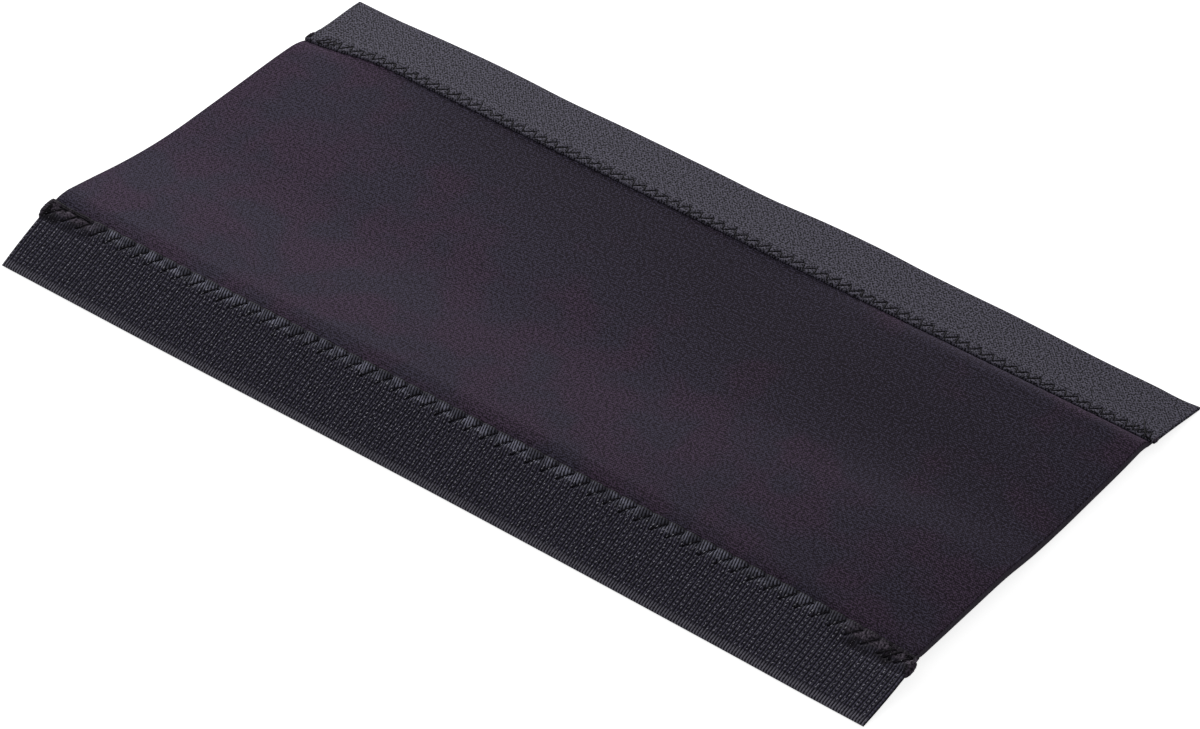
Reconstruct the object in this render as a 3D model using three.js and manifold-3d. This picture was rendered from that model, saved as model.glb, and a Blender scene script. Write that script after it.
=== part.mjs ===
// Chainstay protector: a neoprene wrap with a hook tape along one long edge and
// a loop tape along the other, laid open on a table.
//
// Millimetres, +Z up. X runs along the wrap, -Y is the hook tape's side and +Y is
// the loop tape's side. The origin is the middle of the laid wrap's outline, at
// the height of the table. Every piece is first made flat, the way it is cut, and
// is then laid: a flat point has x along the wrap, its second value across the
// piece, and its third value through the cloth.

import * as THREE from 'three';
import { mergeVertices } from 'three/addons/utils/BufferGeometryUtils.js';
import Module from 'manifold-3d';

const wasm = await Module();
wasm.setup();

// The laid wrap
const LENGTH = 250; // along both tapes
const LAID_WIDTH = 131.1; // across, from one outer selvedge to the other
const CLEARANCE = 0.3; // between two pieces that lie face to face

// Neoprene panel
const PANEL_THICKNESS = 2.5; // foam with knitted cloth on both faces
const SEWN_THICKNESS = 1.1; // the same laminate, squeezed under a seam
const PANEL_SHORT = 2; // how far the panel's end stops before the tapes' ends at +X
const EDGE_UNDER_TAPE = 4; // panel edge under each tape
const PINCH_RUN = 4; // from a tape's edge to where the foam is full again

// Hook tape, hooks up
const HOOK_TAPE_WIDTH = 20;
const HOOK_GROUND = 0.7; // the woven ground's thickness
const HOOK_HEIGHT = 1.4; // hooks above the ground
const HOOK_ROWS = 172; // rows of hooks along the tape
const HOOK_OUTER_SELVEDGE = 2.2; // plain weave beside the hooks, outer side
const HOOK_ROW_INSET = 0.4; // from the tape's cut ends to the first and last row
const ROOT_HEIGHT = 0.17; // the hooks' tangled feet between two rows, above the ground
const ROW_FRONT = 0.3; // share of the row pitch over which a row rises
const ROW_TIP = 0.32; // share of the row pitch that its tip takes up

// Loop tape, loops down
const LOOP_TAPE_WIDTH = 20;
const LOOP_GROUND = 0.6; // the woven ground's thickness
const PILE_HEIGHT = 1.1; // loops below the ground, where nothing flattens them
const PILE_OUTER_SELVEDGE = 2.4; // plain weave beside the loops, outer side
const PILE_LIFT = 0.12; // the flattened loops' height over the table
const PILE_INSET = 0.5; // from the tape's cut ends to the first and last loops

// How the wrap lies
const RIDGE_LEFT = 8.4; // top of the hook tape's sewn edge at the -X end
const RIDGE_TOP = 9.8; // the same at its highest
const RIDGE_RIGHT = 5.5; // the same at the +X end
const RIDGE_TOP_AT = -15; // x of the highest place
const RIDGE_FALL = 2.3; // power of the ridge's fall towards +X: higher falls later
const LOOP_EDGE_HEIGHT = 3.3; // top of the loop tape's sewn edge
const RAMP_FOOT = 0; // y where the slope behind the ridge has come down to the table
const RAMP_ROUNDING = 18; // y over which that slope eases onto the table
const LIFT_FROM = 20; // x from which the panel starts to rise towards its +X end
const CREST_DROP = 0.35; // the foam beside the hook tape lies this much under the tape's edge

// Seams, each a zigzag lockstitch near its tape's sewn edge
const HOOK_STITCHES = 57; // zigzag periods along the hook tape
const LOOP_STITCHES = 74; // zigzag periods along the loop tape
const STITCH_WIDTH = 2.2; // from the thread's middle at one side to the other
const STITCH_EDGE = 0.5; // from the tape's edge to the nearest stitch point
const THREAD_THICKNESS = 0.35;
const THREAD_SPAN = 0.62; // the thread's width, measured across the wrap
const TACK_LENGTH = 7; // backstitched bar at each end of a seam
const SEAM_INSET = 0.6; // from the tape's cut ends to the seam's ends

// The hooks stop where the seam runs, on a plain selvedge just wider than the zigzag.
const HOOK_INNER_SELVEDGE = STITCH_EDGE + STITCH_WIDTH + THREAD_SPAN + CLEARANCE;

// Steps that let a flat solid bend
const STEPS_ALONG = 40;
const STEPS_ACROSS = 16; // over the full foam between the two seams

const lerp = THREE.MathUtils.lerp;
const smooth = THREE.MathUtils.smoothstep;
const half = LENGTH / 2;

// Height of the hook tape's sewn edge, top face, along the wrap.
function ridge(x) {
  if (x < RIDGE_TOP_AT) {
    const t = (RIDGE_TOP_AT - x) / (RIDGE_TOP_AT + half);
    return RIDGE_TOP - (RIDGE_TOP - RIDGE_LEFT) * (1 - Math.cos(Math.PI * t)) / 2;
  }
  const t = (x - RIDGE_TOP_AT) / (half - RIDGE_TOP_AT);
  return RIDGE_TOP - (RIDGE_TOP - RIDGE_RIGHT) * t ** RIDGE_FALL;
}

// The hook tape slopes from the table up to the ridge, straight across its width.
const hookSlope = (x) => Math.asin((ridge(x) - HOOK_GROUND) / HOOK_TAPE_WIDTH);
const HOOK_FOOT = -LAID_WIDTH / 2 + HOOK_GROUND * Math.sin(hookSlope(RIDGE_TOP_AT));

// A point of the hook tape: v from its outer edge, n up from its underside.
function layHookTape([x, v, n]) {
  const a = hookSlope(x);
  return [x, HOOK_FOOT + v * Math.cos(a) - n * Math.sin(a), v * Math.sin(a) + n * Math.cos(a)];
}

// The loop tape slopes gently from the table up to the panel's edge.
const LOOP_SLOPE = Math.asin((LOOP_EDGE_HEIGHT - LOOP_GROUND) / LOOP_TAPE_WIDTH);
const LOOP_FOOT = LAID_WIDTH / 2 - LOOP_GROUND * Math.sin(LOOP_SLOPE);

// A point of the loop tape: v from its outer edge, n up from its underside.
function layLoopTape([x, v, n]) {
  const a = LOOP_SLOPE;
  return [x, LOOP_FOOT - v * Math.cos(a) + n * Math.sin(a), v * Math.sin(a) + n * Math.cos(a)];
}

// The panel's free width between the two tapes' sewn edges, along the cloth.
const FREE_WIDTH = Math.hypot(
  layLoopTape([0, LOOP_TAPE_WIDTH, 0])[1] - layHookTape([0, HOOK_TAPE_WIDTH, 0])[1],
  layLoopTape([0, LOOP_TAPE_WIDTH, 0])[2] - layHookTape([0, HOOK_TAPE_WIDTH, 0])[2],
);

// Across the free panel, t runs from 0 at the hook tape's sewn edge to 1 at the
// loop tape's. Towards the -X end the panel's underside comes straight down from
// the crest and eases onto the table. At the +X end it is a broad low arch, given
// as shares of the crest's height at even steps of t.
const archAtEnd = new THREE.SplineCurve(
  [1, 0.95, 0.92, 0.86, 0.47, 0.39, 0.5, 0.62, 0.85].map((share, i) => new THREE.Vector2(i, share)),
);

function rampShare(y, crestY) {
  const fall = (d) => {
    if (d <= 0) return 0;
    return d < RAMP_ROUNDING ? d * d / (2 * RAMP_ROUNDING) : d - RAMP_ROUNDING / 2;
  };
  return Math.min(1, fall(RAMP_FOOT - y) / fall(RAMP_FOOT - crestY));
}

// Height of the free panel's underside.
function underside(x, y, t, crestY) {
  const crest = ridge(x) - CREST_DROP - PANEL_THICKNESS;
  return crest * lerp(rampShare(y, crestY), archAtEnd.getPoint(t).y, smooth(x, LIFT_FROM, half));
}

// A point of the panel: s across from the hook tape's sewn edge, and n through the
// laminate from 0 at its underside to 1 on top. Under a tape the panel follows the
// tape, squeezed by the seam, and beside the tape its foam swells to full thickness.
function layPanel([x, s, n]) {
  const below = (m) => -CLEARANCE - SEWN_THICKNESS * (1 - m);
  if (s <= 0) return layHookTape([x, HOOK_TAPE_WIDTH + s, below(n)]);
  if (s >= FREE_WIDTH) return layLoopTape([x, LOOP_TAPE_WIDTH + FREE_WIDTH - s, below(n)]);
  const t = s / FREE_WIDTH;
  const y = lerp(
    layHookTape([x, HOOK_TAPE_WIDTH, below(n)])[1],
    layLoopTape([x, LOOP_TAPE_WIDTH, below(n)])[1],
    t,
  );
  const crestY = layHookTape([x, HOOK_TAPE_WIDTH, below(0)])[1] + PINCH_RUN;
  const sewn = t < 0.5
    ? layHookTape([x, HOOK_TAPE_WIDTH, below(0)])[2]
    : layLoopTape([x, LOOP_TAPE_WIDTH, below(0)])[2];
  const swell = smooth(Math.min(s, FREE_WIDTH - s), 0, PINCH_RUN);
  const thickness = lerp(SEWN_THICKNESS, PANEL_THICKNESS, swell);
  return [x, y, lerp(sewn, underside(x, y, t, crestY), swell) + n * thickness];
}

// Moves every vertex of a flat geometry to where it lies. The loop tape's side is
// laid from +Y towards -Y, which mirrors a solid, so its triangles are turned round.
function laid(geometry, lay) {
  const g = geometry.index ? geometry : closed(geometry);
  const p = g.attributes.position;
  for (let i = 0; i < p.count; i++) p.setXYZ(i, ...lay([p.getX(i), p.getY(i), p.getZ(i)]));
  if (lay === layLoopTape) g.index.array.reverse();
  g.computeVertexNormals();
  return g;
}

function closed(geometry) {
  geometry.deleteAttribute('normal');
  geometry.deleteAttribute('uv');
  return mergeVertices(geometry, 1e-5);
}

function solid(geometry) {
  const g = closed(geometry);
  return new wasm.Manifold(new wasm.Mesh({
    numProp: 3,
    vertProperties: new Float32Array(g.attributes.position.array),
    triVerts: new Uint32Array(g.index.array),
  }));
}

function toGeometry(manifold) {
  const mesh = manifold.getMesh();
  const g = new THREE.BufferGeometry();
  g.setAttribute('position', new THREE.BufferAttribute(new Float32Array(mesh.vertProperties), 3));
  g.setIndex(new THREE.BufferAttribute(new Uint32Array(mesh.triVerts), 1));
  return g;
}

// A flat strip: x from -half to half, v from one edge to the other, n from low to high.
function strip(v0, v1, n0, n1) {
  return new THREE.BoxGeometry(LENGTH, v1 - v0, n1 - n0, STEPS_ALONG, 1, 1)
    .translate(0, (v0 + v1) / 2, (n0 + n1) / 2);
}

// The panel is a box in many steps. They sit close together beside the seams, where
// the foam swells.
function panelGeometry() {
  const steps = [-EDGE_UNDER_TAPE, 0, PINCH_RUN / 3, PINCH_RUN * 2 / 3];
  for (let i = 0; i <= STEPS_ACROSS; i++) {
    steps.push(lerp(PINCH_RUN, FREE_WIDTH - PINCH_RUN, i / STEPS_ACROSS));
  }
  steps.push(FREE_WIDTH - PINCH_RUN * 2 / 3, FREE_WIDTH - PINCH_RUN / 3, FREE_WIDTH);
  steps.push(FREE_WIDTH + EDGE_UNDER_TAPE);
  const across = steps.length - 1;
  const g = closed(new THREE.BoxGeometry(1, across, 1, STEPS_ALONG, across, 1));
  const p = g.attributes.position;
  for (let i = 0; i < p.count; i++) {
    const x = (p.getX(i) + 0.5) * (LENGTH - PANEL_SHORT) - half;
    p.setXYZ(i, x, steps[Math.round(p.getY(i) + across / 2)], p.getZ(i) + 0.5);
  }
  return laid(g, layPanel);
}

// Hook tape: a woven ground with rows of hooks across it. The rows are a saw
// profile along the tape, extruded across the hooked width and rooted in the ground.
function hookTapeGeometry() {
  const ground = strip(0, HOOK_TAPE_WIDTH, 0, HOOK_GROUND);
  const from = -half + HOOK_ROW_INSET;
  const pitch = (LENGTH - 2 * HOOK_ROW_INSET) / HOOK_ROWS;
  const valley = HOOK_GROUND + ROOT_HEIGHT;
  const tip = HOOK_GROUND + HOOK_HEIGHT;
  const saw = new THREE.Shape().moveTo(from, HOOK_GROUND / 2);
  for (let i = 0; i < HOOK_ROWS; i++) {
    const x = from + i * pitch;
    saw.lineTo(x, valley);
    saw.lineTo(x + ROW_FRONT * pitch, tip);
    saw.lineTo(x + (ROW_FRONT + ROW_TIP) * pitch, tip);
  }
  saw.lineTo(-from, valley).lineTo(-from, HOOK_GROUND / 2);
  const hooked = HOOK_TAPE_WIDTH - HOOK_OUTER_SELVEDGE - HOOK_INNER_SELVEDGE;
  const rows = new THREE.ExtrudeGeometry(saw, { depth: hooked, steps: 1, bevelEnabled: false })
    .rotateX(Math.PI / 2).translate(0, HOOK_OUTER_SELVEDGE + hooked, 0);
  return laid(toGeometry(solid(ground).add(solid(rows))), layHookTape);
}

// Loop tape: a woven ground with the loops on its underside. The loops are flattened
// where the tape comes down to the table, and stop before the panel's edge.
function loopTapeGeometry() {
  const ground = strip(0, LOOP_TAPE_WIDTH, 0, LOOP_GROUND);
  const room = (v) => (v * Math.sin(LOOP_SLOPE) - PILE_LIFT) / Math.cos(LOOP_SLOPE);
  const inner = LOOP_TAPE_WIDTH - EDGE_UNDER_TAPE - 2 * CLEARANCE;
  const fullFrom = (PILE_HEIGHT * Math.cos(LOOP_SLOPE) + PILE_LIFT) / Math.sin(LOOP_SLOPE);
  const section = new THREE.Shape()
    .moveTo(PILE_OUTER_SELVEDGE, LOOP_GROUND / 2)
    .lineTo(PILE_OUTER_SELVEDGE, -room(PILE_OUTER_SELVEDGE))
    .lineTo(fullFrom, -PILE_HEIGHT)
    .lineTo(inner, -PILE_HEIGHT)
    .lineTo(inner, LOOP_GROUND / 2);
  const pile = new THREE.ExtrudeGeometry(section, { depth: LENGTH - 2 * PILE_INSET, bevelEnabled: false })
    .rotateY(Math.PI / 2).rotateX(Math.PI / 2).translate(PILE_INSET - half, 0, 0);
  return laid(toGeometry(solid(ground).add(solid(pile))), layLoopTape);
}

// One thread of a zigzag seam, flat: a bar of backstitches at each end and an even
// zigzag between them. The outline runs along the thread's low side, then back along
// its high side. v0 and v1 are the zigzag's two sides, and n0 is its underside.
function zigzag(stitches, v0, v1, n0) {
  const from = -half + SEAM_INSET;
  const pitch = -2 * from / stitches;
  const bars = Math.max(1, Math.round(TACK_LENGTH / pitch));
  const [first, last] = [2 * bars, 2 * (stitches - bars)];
  const stitchX = (i) => from + i * pitch / 2;
  const low = [new THREE.Vector2(from, v0)];
  const high = [new THREE.Vector2(from, v1), new THREE.Vector2(stitchX(first) - THREAD_SPAN, v1)];
  for (let i = first; i <= last; i++) {
    const point = new THREE.Vector2(stitchX(i), i % 2 ? v1 : v0);
    low.push(point);
    high.push(point);
  }
  low.push(new THREE.Vector2(-from, v0));
  high.push(new THREE.Vector2(stitchX(last) + THREAD_SPAN, v1), new THREE.Vector2(-from, v1));
  const beside = (points, d) => points.map((q) => new THREE.Vector2(q.x, q.y + d));
  const outline = new THREE.Shape([
    ...beside(low, -THREAD_SPAN / 2),
    ...beside(high, THREAD_SPAN / 2).reverse(),
  ]);
  return new THREE.ExtrudeGeometry(outline, { depth: THREAD_THICKNESS, steps: 1, bevelEnabled: false })
    .translate(0, 0, n0);
}

function seamThread(stitches, tapeWidth, n0, lay) {
  const v1 = tapeWidth - STITCH_EDGE - THREAD_SPAN / 2;
  return laid(zigzag(stitches, v1 - STITCH_WIDTH, v1, n0), lay);
}

// The needle thread lies on the tape, and the bobbin thread under the panel.
const ABOVE_HOOK_TAPE = HOOK_GROUND + CLEARANCE;
const ABOVE_LOOP_TAPE = LOOP_GROUND + CLEARANCE;
const BELOW_PANEL = -2 * CLEARANCE - SEWN_THICKNESS - THREAD_THICKNESS;

const cloth = (color, roughness) => new THREE.MeshStandardMaterial({ color, roughness, metalness: 0 });
const threadLook = cloth('#17151a', 0.6);

function piece(name, geometry, material) {
  const mesh = new THREE.Mesh(geometry, material);
  mesh.name = name;
  return mesh;
}

const wrap = new THREE.Group();
wrap.add(
  piece('neoprene_panel', panelGeometry(), cloth('#38323d', 0.95)),
  piece('hook_tape', hookTapeGeometry(), cloth('#222126', 0.55)),
  piece('loop_tape', loopTapeGeometry(), cloth('#423f47', 0.9)),
  piece('hook_seam_needle_thread',
    seamThread(HOOK_STITCHES, HOOK_TAPE_WIDTH, ABOVE_HOOK_TAPE, layHookTape), threadLook),
  piece('hook_seam_bobbin_thread',
    seamThread(HOOK_STITCHES, HOOK_TAPE_WIDTH, BELOW_PANEL, layHookTape), threadLook),
  piece('loop_seam_needle_thread',
    seamThread(LOOP_STITCHES, LOOP_TAPE_WIDTH, ABOVE_LOOP_TAPE, layLoopTape), threadLook),
  piece('loop_seam_bobbin_thread',
    seamThread(LOOP_STITCHES, LOOP_TAPE_WIDTH, BELOW_PANEL, layLoopTape), threadLook),
);

export default wrap;
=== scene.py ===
# %% [markdown]
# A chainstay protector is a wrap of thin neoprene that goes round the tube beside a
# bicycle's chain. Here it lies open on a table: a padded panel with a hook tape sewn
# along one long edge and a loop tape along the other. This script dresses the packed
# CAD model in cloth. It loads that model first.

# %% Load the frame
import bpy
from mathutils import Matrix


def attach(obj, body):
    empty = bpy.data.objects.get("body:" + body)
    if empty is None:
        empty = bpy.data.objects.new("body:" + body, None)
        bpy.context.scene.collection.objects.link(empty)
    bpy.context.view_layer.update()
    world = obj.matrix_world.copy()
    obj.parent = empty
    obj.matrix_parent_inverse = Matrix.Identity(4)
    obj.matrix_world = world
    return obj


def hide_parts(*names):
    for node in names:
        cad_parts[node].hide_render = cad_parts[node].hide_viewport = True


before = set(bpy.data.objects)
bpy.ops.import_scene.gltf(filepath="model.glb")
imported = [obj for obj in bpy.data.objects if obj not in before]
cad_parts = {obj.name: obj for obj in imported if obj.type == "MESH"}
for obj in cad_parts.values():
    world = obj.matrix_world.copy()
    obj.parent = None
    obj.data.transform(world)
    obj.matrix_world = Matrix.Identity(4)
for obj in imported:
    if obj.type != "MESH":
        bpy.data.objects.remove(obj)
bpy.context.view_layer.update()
print("CAD nodes:", ", ".join(sorted(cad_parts)))

# %% [markdown]
# The wrap was drawn in millimetres, so lengths stay in millimetres here and are turned
# to metres where a mesh is made. Flat pieces are cut first and laid afterwards, as a
# sewer would do it: every point has x along the wrap, v across its own piece and n
# through the cloth, and one function per piece says where that point comes to lie.

# %% Units and sizes of the cut pieces
import math
import bpy
import numpy as np
from mathutils import Vector

MM = 0.001
LENGTH = 250.0  # along both tapes
LAID_WIDTH = 131.1  # from one outer selvedge to the other
HALF = LENGTH / 2
TAPE_WIDTH = 20.0
HOOK_GROUND = 0.7  # thickness of the hook tape's woven ground
LOOP_GROUND = 0.6
SEWN_FOAM = 1.4  # the laminate squeezed under a seam, up to the tape
FULL_FOAM = 2.5  # the laminate where nothing squeezes it
UNDER_TAPE = 4.0  # panel edge under each tape
PANEL_SHORT = 1.15  # the panel's end stops this far before the tapes' ends at +X
chance = np.random.default_rng(7)
print("the wrap is", LENGTH, "x", LAID_WIDTH, "mm as it lies")

# %% [markdown]
# Nothing here is perfectly straight, because the tapes pull at the foam. A few measured
# places with a smooth line through them describe each such curve. The line is a cubic
# whose slope at a place comes from its neighbours.

# %% A smooth line through measured places
def through(x, places, values):
    places, values = np.asarray(places, float), np.asarray(values, float)
    slope = np.gradient(values, places)
    i = np.clip(np.searchsorted(places, x) - 1, 0, len(places) - 2)
    step = places[i + 1] - places[i]
    t = np.clip((x - places[i]) / step, 0, 1)
    return (
        (1 + 2 * t) * (1 - t) ** 2 * values[i]
        + t * (1 - t) ** 2 * step * slope[i]
        + t * t * (3 - 2 * t) * values[i + 1]
        - t * t * (1 - t) * step * slope[i + 1]
    )


def ease(x, low, high):
    t = np.clip((x - low) / (high - low), 0, 1)
    return t * t * (3 - 2 * t)


def mix(a, b, t):
    return a + (b - a) * t


print("half way between 0 and 1 the line gives", through(0.5, [0, 1, 2], [0, 1, 2]))

# %% [markdown]
# The hook tape is stiffer than the panel. Its sewn edge stands up in a low ridge and its
# outer edge rests on the table, so across its width it is a straight slope.

# %% How the hook tape lies
RIDGE_LEFT, RIDGE_TOP, RIDGE_RIGHT = 8.4, 9.8, 5.5
RIDGE_TOP_AT = -15.0
RIDGE_FALL = 2.3


def ridge(x):
    left = (RIDGE_TOP_AT - x) / (RIDGE_TOP_AT + HALF)
    right = np.clip((x - RIDGE_TOP_AT) / (HALF - RIDGE_TOP_AT), 0, 1)
    rising = RIDGE_TOP - (RIDGE_TOP - RIDGE_LEFT) * (1 - np.cos(np.pi * left)) / 2
    falling = RIDGE_TOP - (RIDGE_TOP - RIDGE_RIGHT) * right ** RIDGE_FALL
    return np.where(x < RIDGE_TOP_AT, rising, falling)


HOOK_FOOT = -LAID_WIDTH / 2 + HOOK_GROUND * (RIDGE_TOP - HOOK_GROUND) / TAPE_WIDTH
END_BOW, BOW_RUN = 0.28, 10.0  # the cut ends bulge a little in the middle
HOOK_EDGE_PLACES = [-125, -60, -30, 0, 30, 60, 90, 110, 125]
HOOK_EDGE_WANDER = [-0.45, -0.3, 0, 0.15, 0.1, -0.1, -0.4, -0.7, -0.8]


def lay_hook_tape(x, v, n):
    """Where a point of the flat tape comes to lie, v from the outer edge, n from below."""
    slope = np.arcsin((ridge(x) - HOOK_GROUND) / TAPE_WIDTH)
    y = HOOK_FOOT + v * np.cos(slope) - n * np.sin(slope)
    y = y + through(x, HOOK_EDGE_PLACES, HOOK_EDGE_WANDER) * np.clip(1 - v / TAPE_WIDTH, 0, 1)
    middle = 4 * np.clip(v / TAPE_WIDTH * (1 - v / TAPE_WIDTH), 0, 1)
    bow = END_BOW * middle * (ease(x, HALF - BOW_RUN, HALF) - ease(-x, HALF - BOW_RUN, HALF))
    return np.stack([x + bow, y, v * np.sin(slope) + n * np.cos(slope)], -1)


print("ridge height at both ends and the top:", ridge(np.array([-HALF, RIDGE_TOP_AT, HALF])))

# %% [markdown]
# The loop tape is soft. It slopes gently down to the table, and its outer edge wanders
# by half a millimetre or so. At the left end the seam has pulled the corner in, down to
# the table and towards the panel. The right end is drawn in by a quarter of one.

# %% How the loop tape lies
LOOP_EDGE_HEIGHT = 3.3
LEFT_IN, LEFT_OVER, LEFT_DOWN, LEFT_RUN = 0.8, 2.5, 0.95, 25.0
RIGHT_IN, RIGHT_RUN = 0.25, 15.0
CORNER_FULL = 14.0  # this far across the tape, its cut end has moved in fully
EDGE_PLACES = [-125, -113, -97, -80, -70, -61, -40, -15, 3, 20,
               37, 48, 60, 72, 80, 100, 113, 121, 125]
EDGE_WANDER = [-0.4, -0.5, 0.2, 0.5, 0.3, 0, 0.2, 0.1, -0.1, 0.75,
               0.8, 0.35, 0.2, 0.2, 0, -0.6, -0.6, -0.8, -0.4]
LOOP_SLOPE = math.asin((LOOP_EDGE_HEIGHT - LOOP_GROUND) / TAPE_WIDTH)
LOOP_FOOT = LAID_WIDTH / 2 - LOOP_GROUND * math.sin(LOOP_SLOPE)


def lay_loop_tape(x, v, n):
    """The same for the loop tape."""
    sewn = np.clip(v / TAPE_WIDTH, 0, 1)
    left = ease(-x, HALF - LEFT_RUN, HALF)
    pull = left * sewn ** 1.5
    inward = LEFT_IN * left - RIGHT_IN * ease(x, HALF - RIGHT_RUN, HALF)
    y = LOOP_FOOT - v * math.cos(LOOP_SLOPE) + n * math.sin(LOOP_SLOPE) - LEFT_OVER * pull
    y = y + through(x, EDGE_PLACES, EDGE_WANDER) * (1 - sewn)
    z = v * math.sin(LOOP_SLOPE) + n * math.cos(LOOP_SLOPE) - LEFT_DOWN * pull
    return np.stack([x + inward * ease(v, 0, CORNER_FULL), y, z], -1)


print("loop tape slopes by", round(math.degrees(LOOP_SLOPE), 1), "degrees")

# %% [markdown]
# The panel follows each tape where it is sewn under it, and is free in between. Beside a
# seam the foam swells back to full thickness within a few millimetres, and each needle
# hole holds it down a little longer, which draws the row of small dimples there. Towards
# the left the cloth comes straight down from the ridge onto the table, and at the cut
# it stands up beside the ridge and sags sooner. At the right end it stands in a low
# arch, given as shares of the ridge's height from seam to seam.

# %% How the panel lies
hook_edge = lay_hook_tape(np.zeros(1), np.full(1, TAPE_WIDTH), np.zeros(1))[0]
loop_edge = lay_loop_tape(np.zeros(1), np.full(1, TAPE_WIDTH), np.zeros(1))[0]
FREE_WIDTH = float(np.hypot(*(loop_edge - hook_edge)[1:]))
CREST_DROP = 0.35  # the foam beside the hook tape lies this much under the tape's edge
CREST_AT = 4.0  # from the seam to the highest foam
HOOK_SWELL, LOOP_SWELL = 3.2, 5.6  # from each seam to where the foam is full again
SWELL_POWER = 2.4  # a higher one swells sooner
RAMP_FOOT, RAMP_ROUNDING = 0.0, 18.0
LIFT_FROM = 20.0
ARCH = [1, 0.95, 0.92, 0.86, 0.47, 0.39, 0.5, 0.62, 0.85]
UNEVEN = 0.12  # height of two slow waves in the foam that cross each other
LEFT_END_DROP, LEFT_END_RISE, RISE_WIDTH, CREST_RUN = 0.9, 1.05, 22.0, 25.0  # at the left cut
CORNER_PULL = 18  # a tape's corner pulls the panel's end only close to it


def fall(d):
    eased = np.clip(d, 0, None) ** 2 / (2 * RAMP_ROUNDING)
    return np.where(d < RAMP_ROUNDING, eased, d - RAMP_ROUNDING / 2)


def lay_panel(x, s, n, held=0.0):
    """The same for the panel: s from the hook seam, n from 0 below to 1 on top, and held
    is how much further from the seam a needle hole keeps the foam down."""
    below = -SEWN_FOAM * (1 - n)
    on_hook = lay_hook_tape(x, TAPE_WIDTH + np.minimum(s, 0), below)
    on_loop = lay_loop_tape(x, TAPE_WIDTH + FREE_WIDTH - np.maximum(s, FREE_WIDTH), below)
    t = np.clip(s / FREE_WIDTH, 0, 1)
    free = mix(on_hook, on_loop, t[..., None])
    seam = lay_hook_tape(x, np.full_like(x, TAPE_WIDTH), np.full_like(x, -SEWN_FOAM))
    crest_y = seam[..., 1] + CREST_AT
    ramp = np.minimum(1, fall(RAMP_FOOT - free[..., 1]) / fall(RAMP_FOOT - crest_y))
    arch = through(t * (len(ARCH) - 1), range(len(ARCH)), ARCH)
    waves = UNEVEN * np.sin(x / 17 + s / 23) * np.sin(x / 31 - s / 13 + 1)
    at_cut = LEFT_END_RISE * np.exp(-((s / RISE_WIDTH) ** 4)) - LEFT_END_DROP
    crest = ridge(x) - CREST_DROP - FULL_FOAM + at_cut * ease(-x, HALF - CREST_RUN, HALF)
    under = crest * mix(ramp, arch, ease(x, LIFT_FROM, HALF))
    reach = np.clip((np.minimum(s, FREE_WIDTH - s) - held) / mix(HOOK_SWELL, LOOP_SWELL, t), 0, 1)
    swell = 1 - (1 - reach) ** SWELL_POWER
    sewn = np.where(t < 0.5, on_hook[..., 2], on_loop[..., 2]) - below
    thick = mix(SEWN_FOAM, FULL_FOAM, swell) + waves * swell * n
    free[..., 0] = mix(on_hook[..., 0], on_loop[..., 0], t ** CORNER_PULL)
    free[..., 2] = mix(sewn - SEWN_FOAM, under, swell) + n * thick
    beside = ((s <= 0) | (s >= FREE_WIDTH))[..., None]
    return np.where(beside, np.where((s <= 0)[..., None], on_hook, on_loop), free)


print("free cloth between the seams:", round(FREE_WIDTH, 1), "mm")

# %% [markdown]
# The camera comes next, because everything is judged from where the photograph was
# taken. Its lens and place were fitted to the outline of the wrap. The long lens from
# over a metre away gives the flat perspective of a catalogue picture.

# %% Camera
LENS, SENSOR = 162.37, 36.0
AZIMUTH, ELEVATION = 38.037, 40.671
scene = bpy.context.scene
camera = bpy.data.objects.new("camera", bpy.data.cameras.new("camera"))
camera.data.lens, camera.data.sensor_width = LENS, SENSOR
camera.location = (0.58925, -0.75065, 0.81115)
camera.rotation_euler = (math.radians(90 - ELEVATION), 0, math.radians(AZIMUTH))
scene.collection.objects.link(camera)
scene.camera = camera
scene.view_settings.view_transform = "Standard"
print("camera stands", round(camera.location.length, 2), "m away")

# %% [markdown]
# A material is a graph of nodes. One small function adds a node, sets its options and
# fills its sockets: a plain value is set on the socket, and a node or one of its outputs
# is linked to it. Blender's names for these nodes all start with ShaderNode, so that part
# is left out. Colours are written as the hex values that a picture shows, and another
# function turns them to the linear values that light is worked out in. A third one
# starts a material with an empty graph.

# %% Helpers for nodes and colours
def linear(hex_colour):
    """A picture's colour as linear red, green, blue and alpha."""
    parts = [int(hex_colour[i : i + 2], 16) / 255 for i in (1, 3, 5)]
    return [c / 12.92 if c <= 0.04045 else ((c + 0.055) / 1.055) ** 2.4 for c in parts] + [1.0]


def add_node(tree, kind, sockets=None, **options):
    node = tree.nodes.new("ShaderNode" + kind)
    for name, value in options.items():
        setattr(node, name, value)
    for name, value in (sockets or {}).items():
        if isinstance(value, bpy.types.Node):
            value = value.outputs[0]
        if isinstance(value, bpy.types.NodeSocket):
            tree.links.new(value, node.inputs[name])
        else:
            node.inputs[name].default_value = linear(value) if isinstance(value, str) else value
    return node


def new_material(name):
    material = bpy.data.materials.new(name)
    material.use_nodes = True
    material.node_tree.nodes.clear()
    return material, material.node_tree


print("mid grey in linear light:", round(linear("#808080")[0], 3))

# %% [markdown]
# Studio pictures of dark goods use one large soft box and pale walls all round. The
# world is those walls. The camera and mirror-like rays see it as plain white, and
# everything else gets its softer light. The soft box stands behind the wrap on the
# left, so the left end of the panel is the brighter one, as in the photograph.

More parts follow.
